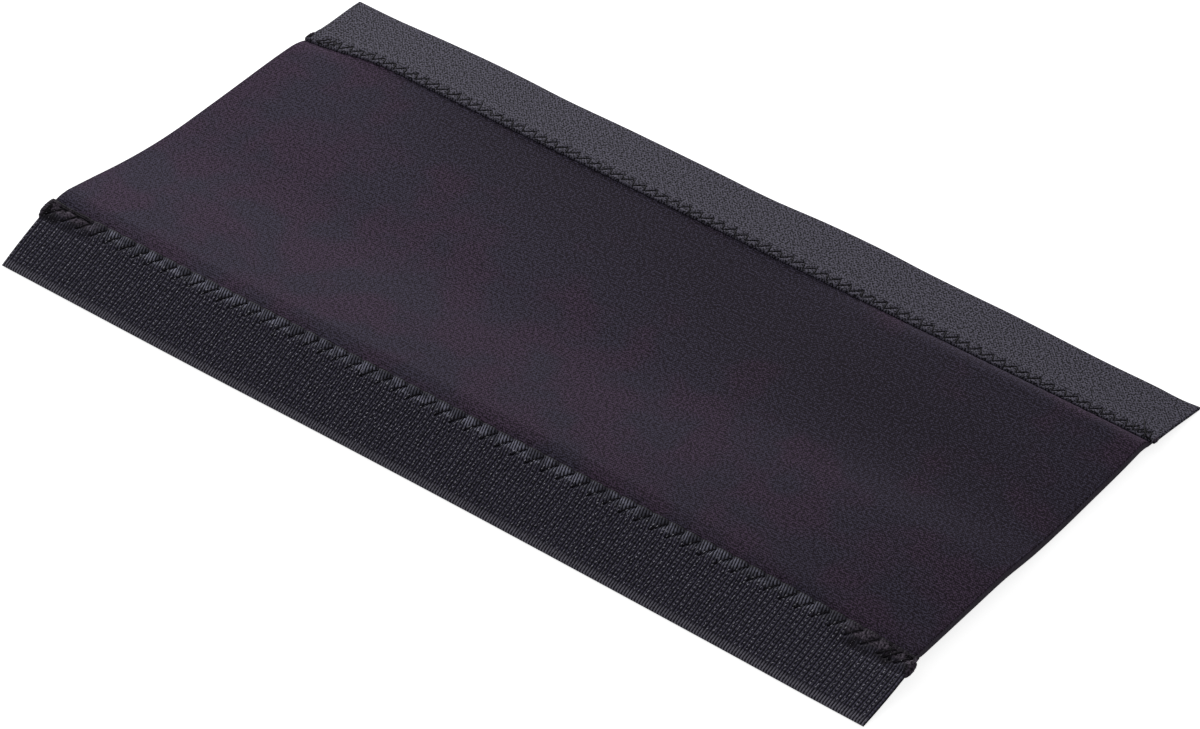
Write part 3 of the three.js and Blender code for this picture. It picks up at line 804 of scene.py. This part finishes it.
# %% Hooks
HOOK_FROM, HOOK_TO = 2.3, 17.3
HOOK_RADIUS, HOOK_SIDES = 0.1, 4
HOOK_PATH = [(-0.26, 0, -0.1), (-0.29, 0, 0.4), (-0.19, 0, 0.68),
             (0.03, 0, 0.8), (0.25, 0, 0.68), (0.29, 0, 0.45)]
HOOK_TURN = math.radians(80)
ROW_INSET = 0.4
ROW_STRAY, STRAY_FROM, STRAY_TO = (0.2, 0.1), 50, 110  # along the tape, less at its ends
COLUMN_STRAY, TURN_STRAY, SIZE_STRAY, HOOK_SIZES = 0.12, 0.2, 0.06, (0.85, 1.1)
TRAMPLED, FOOT_LENGTH, FOOT_FROM = 0.4, 16, 14.0  # by the presser foot at both ends


def planted(template, faces, spots, turns, sizes, lay, ground):
    """Copies of one strand, each turned, scaled and laid with its tape."""
    c, s = np.cos(turns)[:, None], np.sin(turns)[:, None]
    flat_x = spots[:, :1] + sizes[:, None] * (template[:, 0] * c - template[:, 1] * s)
    flat_v = spots[:, 1:] + sizes[:, None] * (template[:, 0] * s + template[:, 1] * c)
    flat_n = ground + sizes[:, None] * template[:, 2]
    verts = lay(flat_x, flat_v, flat_n).reshape(-1, 3)
    step = len(template)
    all_faces = [[i + k * step for i in face] for k in range(len(spots)) for face in faces]
    return verts, all_faces, np.stack([flat_x, flat_v], -1).reshape(-1, 2)


rows = np.arange(-HALF + ROW_INSET + RIB, HALF - ROW_INSET - RIB, ROW_PITCH)
columns = np.arange(HOOK_FROM, HOOK_TO, WARP)
spots = np.stack(grid(rows, columns), -1).reshape(-1, 2)
stray = mix(*ROW_STRAY, ease(abs(spots[:, 0]), STRAY_FROM, STRAY_TO))
stray = np.stack([stray, np.full_like(stray, COLUMN_STRAY)], -1)
spots = spots + chance.normal(0, 1, spots.shape) * stray
turns = HOOK_TURN + chance.normal(0, TURN_STRAY, len(spots))
sizes = chance.normal(1, SIZE_STRAY, len(spots)).clip(*HOOK_SIZES)
under_foot = (abs(spots[:, 0]) > HALF - FOOT_LENGTH) & (spots[:, 1] > FOOT_FROM)
sizes = np.where(under_foot, TRAMPLED, 1) * sizes
template, template_faces = swept(HOOK_PATH, HOOK_RADIUS, HOOK_SIDES)
verts, faces, plan = planted(template, template_faces, spots, turns, sizes,
                             lay_hook_tape, HOOK_GROUND)
hooks = put("monofilament_hooks", verts, faces, [monofilament], None, plan)
print(len(spots), "hooks in", len(rows), "rows")

# %% [markdown]
# The loop tape lies with its loops down, so its woven back shows: a fine weave of
# textured nylon, grey rather than black, with light specks where a yarn comes to the
# surface and dark pinholes between. Drawn 0.8 mm apart, the yarns are a little coarser
# than real, so that the weave shows.

# %% Woven back of the loop tape
loop_back, tree = new_material("woven_nylon_loop_back")
flat = cutting_plan(tree)
along, across, _ = add_node(tree, "SeparateXYZ", {0: flat}).outputs
PICK, END = 0.8, 0.85  # between weft picks, and between warp ends
wander = add_node(tree, "TexNoise", {"Vector": flat, "Scale": 0.35, "Detail": 2.0})
loose = add_node(tree, "Math", {0: wander, 1: 4.0}, operation="MULTIPLY")
weft = add_node(tree, "Math", {
    0: along, 1: 2 * math.pi / PICK, 2: loose}, operation="MULTIPLY_ADD")
weft = add_node(tree, "Math", {0: weft}, operation="SINE")
warp = add_node(tree, "Math", {
    0: across, 1: 2 * math.pi / END, 2: loose}, operation="MULTIPLY_ADD")
warp = add_node(tree, "Math", {0: warp}, operation="SINE")
woven = add_node(tree, "Math", {0: weft, 1: warp}, operation="MULTIPLY")
yarn = add_node(tree, "TexNoise", {"Vector": flat, "Scale": 2.1, "Detail": 0.0})
weave = add_node(tree, "Math", {0: woven, 1: 0.14, 2: yarn}, operation="MULTIPLY_ADD")
tone = add_node(tree, "MapRange", {"Value": weave, "From Min": 0.38, "From Max": 0.62})
grey = add_node(tree, "Mix", {"Factor": tone, 6: "#07060a", 7: "#5d5a68"}, data_type="RGBA")
bump = add_node(tree, "Bump", {"Height": weave, "Distance": 0.15 * MM, "Strength": 0.9})
shader = add_node(tree, "BsdfPrincipled", {
    "Base Color": grey.outputs[2], "Roughness": 0.85, "Specular IOR Level": 0.1,
    "IOR": NYLON_IOR, "Normal": bump})
add_node(tree, "OutputMaterial", {"Surface": shader})
print("weave of the back:", PICK, "by", END, "mm")

# %% Loop tape
LOOP_RELIEF = {"puff": 0.15, "rising": 0.25, "falling": 0.22, "groove": 0.22}
LOOP_SCALLOP, LOOP_ROUNDING = 0.15, (0.4, 0.1)
LOOP_TAPE_STEP = 0.25
seam_lines, outer_lines = np.linspace(TAPE_WIDTH, SEAM_ZONE, 21), np.linspace(14.2, 0.6, 12)
x, v = grid(np.arange(-HALF, HALF + 0.05, LOOP_TAPE_STEP),
            np.concatenate([seam_lines, outer_lines, [0.3, 0.0]]))
verts, faces, plan = sewn_tape(x, v, LOOP_GROUND, loop_holes, LOOP_INNER,
                               LOOP_RELIEF, LOOP_SCALLOP, LOOP_ROUNDING, lay_loop_tape)
loop_tape = put("loop_tape_ground", verts, faces, [loop_back], "loop_tape", plan)

# %% [markdown]
# Under the loop tape is its pile: thousands of soft nylon loops. They are flattened
# where the tape comes down to the table and stand freely towards the panel.

# %% Brushed nylon pile
pile_nylon, tree = new_material("brushed_nylon_pile")
flat = cutting_plan(tree)
speck = add_node(tree, "TexNoise", {"Vector": flat, "Scale": 0.6})
dyed = add_node(tree, "Mix", {"Factor": speck, 6: "#2a292f", 7: "#4c4a53"}, data_type="RGBA")
shader = add_node(tree, "BsdfPrincipled", {
    "Base Color": dyed.outputs[2], "Roughness": 0.8, "Specular IOR Level": 0.2,
    "IOR": NYLON_IOR, "Sheen Weight": 0.3, "Sheen Roughness": 0.6})
add_node(tree, "OutputMaterial", {"Surface": shader})
print("pile takes", len(tree.nodes), "nodes")

# %% Loop pile
LOOP_ARC = [(-0.55, 0, 0.1), (-0.62, 0, -0.6), (-0.2, 0, -1.0),
            (0.3, 0, -0.95), (0.6, 0, -0.5), (0.5, 0, 0.1)]
LOOP_RADIUS, LOOP_SIDES, LOOP_SPACING = 0.1, 3, 1.05
LOOP_REACH, LOOP_PRESSED = 1.1, 0.05  # how far down a loop hangs, free and pressed
LOOP_STRAY, LOOP_SIZE_STRAY, LOOP_SIZES = 0.35, 0.08, (0.8, 1.1)
PILE_INSETS = (0.9, 0.8)  # from the left and right ends
PILE_FROM, PILE_TO = 2.8, 15.2
rows = np.arange(-HALF + PILE_INSETS[0], HALF - PILE_INSETS[1], LOOP_SPACING)
columns = np.arange(PILE_FROM, PILE_TO, LOOP_SPACING)
spots = np.stack(grid(rows, columns), -1).reshape(-1, 2)
spots = spots + chance.uniform(-LOOP_STRAY, LOOP_STRAY, spots.shape)
template, template_faces = swept(LOOP_ARC, LOOP_RADIUS, LOOP_SIDES)


def lay_pile(x, v, n):
    """Loops that would reach below the table are pressed flat against it."""
    laid = lay_loop_tape(x, v, np.zeros_like(n))
    room = np.clip(laid[..., 2] - LOOP_RADIUS, LOOP_PRESSED, LOOP_REACH)
    return lay_loop_tape(x, v, np.where(n < 0, n * np.minimum(1, room / LOOP_REACH), n))


turns = chance.uniform(0, 2 * np.pi, len(spots))
sizes = chance.normal(1, LOOP_SIZE_STRAY, len(spots)).clip(*LOOP_SIZES)
verts, faces, plan = planted(template, template_faces, spots, turns, sizes, lay_pile, 0.0)
pile = put("loop_pile", verts, faces, [pile_nylon], None, plan)
print(len(spots), "loops")

# %% [markdown]
# The threads are bonded polyester, near black. Each one is a strand swept through the
# needle holes: it lies on the cloth along a leg and dives at a hole. In the hook seam
# the falling legs lie between two picks of the weave and sink out of sight. Where a seam
# runs off the cut end, its last turns make a small knot, drawn paler: partly the thread's
# own plum-grey fuzz, partly painted light. One loose end lies on the loop tape. The needle
# thread runs on top of the tape, and the bobbin thread does the same under the panel.

# %% Polyester thread
thread_black, tree = new_material("bonded_polyester_thread")
flat = cutting_plan(tree)
along, _, _ = add_node(tree, "SeparateXYZ", {0: flat}).outputs
TWIST = 0.5
twist = add_node(tree, "TexNoise", {"Vector": flat, "Scale": 1 / TWIST, "Detail": 2.0})
black = add_node(tree, "Mix", {"Factor": twist, 6: "#050406", 7: "#1a171d"}, data_type="RGBA")
# Paler at the cut ends: the thread's own fuzz, with painted light.
fuzz_and_lit_knot = add_node(tree, "MapRange", {"Value": twist, "From Min": 0.4, "From Max": 0.6})
fuzz_and_lit_knot = add_node(tree, "Mix", {"Factor": fuzz_and_lit_knot, 6: "#17131a", 7: "#4e4653"}, data_type="RGBA")
at_end = add_node(tree, "Math", {0: along}, operation="ABSOLUTE")
at_end = add_node(tree, "Math", {0: at_end, 1: HALF - 0.5}, operation="GREATER_THAN")
black = add_node(tree, "Mix", {
    "Factor": at_end, 6: black.outputs[2], 7: fuzz_and_lit_knot.outputs[2]}, data_type="RGBA")
bump = add_node(tree, "Bump", {"Height": twist, "Distance": 0.05 * MM, "Strength": 0.5})
shader = add_node(tree, "BsdfPrincipled", {
    "Base Color": black.outputs[2], "Roughness": 0.6, "Specular IOR Level": 0.06,
    "IOR": NYLON_IOR, "Normal": bump})
add_node(tree, "OutputMaterial", {"Surface": shader})
print("thread twist every", TWIST, "mm")

# %% Seam threads
THREAD_RADIUS, THREAD_SIDES = 0.17, 6
NEEDLE_SUNK, BOBBIN_CLEAR = 0.04, 0.1  # from the plain faces of the cloth
FALLING_BURIED = 0.3  # the hook seam's falling legs lie deeper
SHORTEST = 0.02  # points closer than this are merged
# A leg's points: share of its length, and height over the sunk cloth.
LEG_SHAPE = [(0.0, -0.30), (0.12, -0.02), (0.5, 0.04), (0.88, -0.02)]
KNOT_STEP, KNOT_SIDES = 0.25, 8
KNOT_IN, KNOT_UP = 0.3, 0.3  # the middle of a knot, from the cut end and the cloth
KNOT_HEIGHT, KNOT_THIN, KNOT_BLUNT, KNOT_LOOSE = 0.6, 0.2, 0.45, 0.05
LOOSE_END = [(122.6, 19.6, 0.8), (121.6, 18.7, 0.95), (120.9, 17.7, 0.9),
             (119.6, 15.7, 0.85), (118.6, 14.1, 0.75)]


def knot(end, v_from, v_to, out):
    """The last turns round the cut end: x and n go round while v moves on."""
    count = int(abs(v_to - v_from) / KNOT_STEP) * KNOT_SIDES
    share = np.linspace(0, 1, count)
    swell = KNOT_THIN + (1 - KNOT_THIN) * np.sin(np.pi * share) ** KNOT_BLUNT
    angle = np.arange(count) * 2 * np.pi / KNOT_SIDES
    x = end * (HALF - KNOT_IN + (out + KNOT_IN - THREAD_RADIUS) * swell * np.cos(angle))
    n = KNOT_UP + KNOT_HEIGHT * swell * np.sin(angle)
    turns = np.stack([x, v_from + (v_to - v_from) * share, n], -1)
    return turns + chance.normal(0, KNOT_LOOSE, turns.shape)


def seam_thread(name, node, holes, lay, level, up, buried=0.0, before=None, after=None):
    """One thread of a seam. up is 1 on top of the cloth and -1 below it."""
    points = []
    for a, b in zip(holes[:-1], holes[1:]):
        sunk = buried if b[1] < a[1] else 0.0
        for share, height in LEG_SHAPE:
            points.append((*(a + (b - a) * share), level + up * (height - sunk)))
    points.append((*holes[-1], level + up * LEG_SHAPE[0][1]))
    points = np.concatenate([part for part in (before, points, after) if part is not None])
    step = np.linalg.norm(np.diff(points, axis=0), axis=1)
    points = points[np.concatenate([[True], step > SHORTEST])]
    verts, faces = swept(lay(*points.T), THREAD_RADIUS, THREAD_SIDES)
    plan = np.repeat(points[:, :2], THREAD_SIDES, axis=0)
    put(name, verts, faces, [thread_black], node, plan)


seam_thread("hook_needle_thread", "hook_seam_needle_thread", hook_holes, lay_hook_tape,
            HOOK_GROUND - NEEDLE_SUNK, 1, FALLING_BURIED,
            knot(-1, 14.7, 20.2, out=1.15), knot(1, 18.8, 14.5, out=0.85))
seam_thread("hook_bobbin_thread", "hook_seam_bobbin_thread", hook_holes, lay_hook_tape,
            -SEWN_FOAM - BOBBIN_CLEAR, -1)
seam_thread("loop_needle_thread", "loop_seam_needle_thread", loop_holes, lay_loop_tape,
            LOOP_GROUND - NEEDLE_SUNK, 1, before=knot(-1, 17.0, 19.9, out=0.4),
            after=np.concatenate([knot(1, 17.8, 19.9, out=0.1), LOOSE_END]))
seam_thread("loop_bobbin_thread", "loop_seam_bobbin_thread", loop_holes, lay_loop_tape,
            -SEWN_FOAM - BOBBIN_CLEAR, -1)
